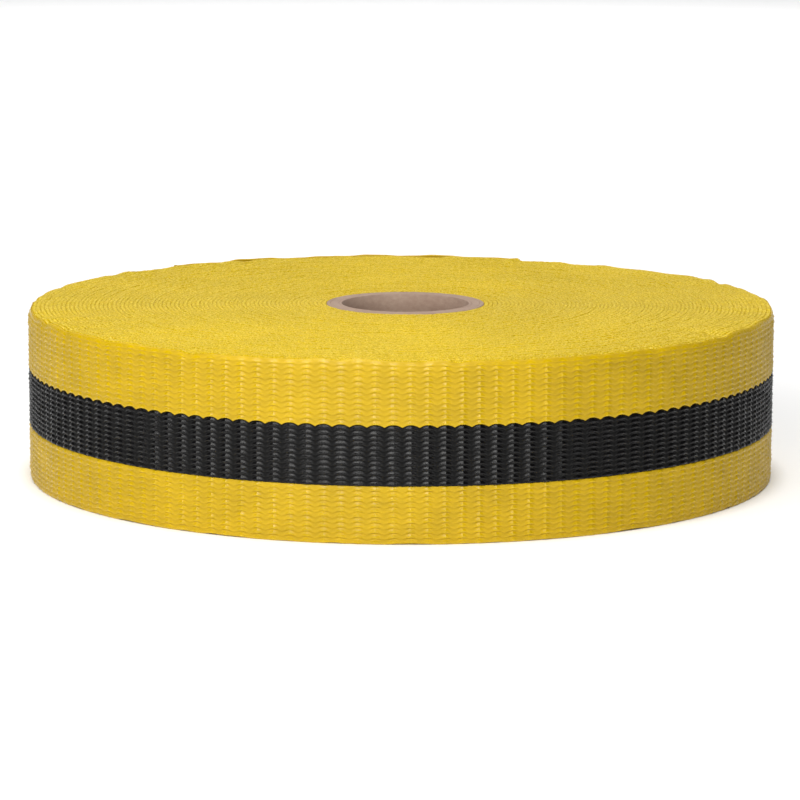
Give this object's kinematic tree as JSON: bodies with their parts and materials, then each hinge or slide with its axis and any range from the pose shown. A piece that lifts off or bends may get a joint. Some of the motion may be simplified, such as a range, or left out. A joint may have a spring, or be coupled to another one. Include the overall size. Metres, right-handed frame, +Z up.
{
  "type": "sling webbing roll",
  "caption": "Flat woven sling webbing, yellow with a dark centre stripe, wound on a paper tube core, with a free end that peels off the roll.",
  "frame": {"origin": "middle of the roll's outline in the plane it rests on, so the core's axis is 1.5 mm towards +X", "axes": "+Z up along the core's axis, from the resting edge of the strip to the upper edge; +Y points at the side where the strip's free end is taped down"},
  "size_m": [0.2236, 0.2245, 0.0508],
  "materials": {
    "web_yellow": "coarse woven filament yarn, slightly glossy, warm yellow",
    "web_black": "coarse woven filament yarn, black, with a soft grey sheen on the yarn crowns",
    "core_paper": "uncoated kraft paperboard, cut end with fine ply lines",
    "tape_paper": "creped paper tape, matt, pale cream"
  },
  "bodies": {
    "roll": {"core_liner": "core_paper", "core_body": "core_paper", "core_wrap": "core_paper", "start_tape": "tape_paper", "winding_lower_yellow": "web_yellow", "winding_black": "web_black", "winding_upper_yellow": "web_yellow"},
    "tail_link_1": {"tail_1_lower_yellow": "web_yellow", "tail_1_black": "web_black", "tail_1_upper_yellow": "web_yellow"},
    "tail_link_2": {"tail_2_lower_yellow": "web_yellow", "tail_2_black": "web_black", "tail_2_upper_yellow": "web_yellow"},
    "tail_link_3": {"tail_3_lower_yellow": "web_yellow", "tail_3_black": "web_black", "tail_3_upper_yellow": "web_yellow"},
    "tail_link_4": {"tail_4_lower_yellow": "web_yellow", "tail_4_black": "web_black", "tail_4_upper_yellow": "web_yellow", "tape_on_tail": "tape_paper"},
    "tape_end": {"tape_flap": "tape_paper"}
  },
  "joints": [
    {"name": "tail_peel", "type": "hinge", "parent": "roll", "child": "tail_link_1", "pos_m": [0.03977, 0.10539, 0.0254], "axis": [0, 0, -1], "range_deg": [0, 25]},
    {"name": "tail_bend_2", "type": "hinge", "parent": "tail_link_1", "child": "tail_link_2", "pos_m": [0.0104, 0.11222, 0.0254], "axis": [0, 0, -1], "range_deg": [0, 25]},
    {"name": "tail_bend_3", "type": "hinge", "parent": "tail_link_2", "child": "tail_link_3", "pos_m": [-0.01973, 0.11101, 0.0254], "axis": [0, 0, -1], "range_deg": [0, 25]},
    {"name": "tail_bend_4", "type": "hinge", "parent": "tail_link_3", "child": "tail_link_4", "pos_m": [-0.04848, 0.10186, 0.0254], "axis": [0, 0, -1], "range_deg": [0, 25]},
    {"name": "tape_peel", "type": "hinge", "parent": "tail_link_4", "child": "tape_end", "pos_m": [-0.07378, 0.0854, 0.0254], "axis": [0, 0, -1], "range_deg": [0, 150]}
  ],
  "couplings": [
    {"joint": "tail_bend_2", "follows": "tail_peel", "ratio": 1},
    {"joint": "tail_bend_3", "follows": "tail_peel", "ratio": 1},
    {"joint": "tail_bend_4", "follows": "tail_peel", "ratio": 1}
  ]
}
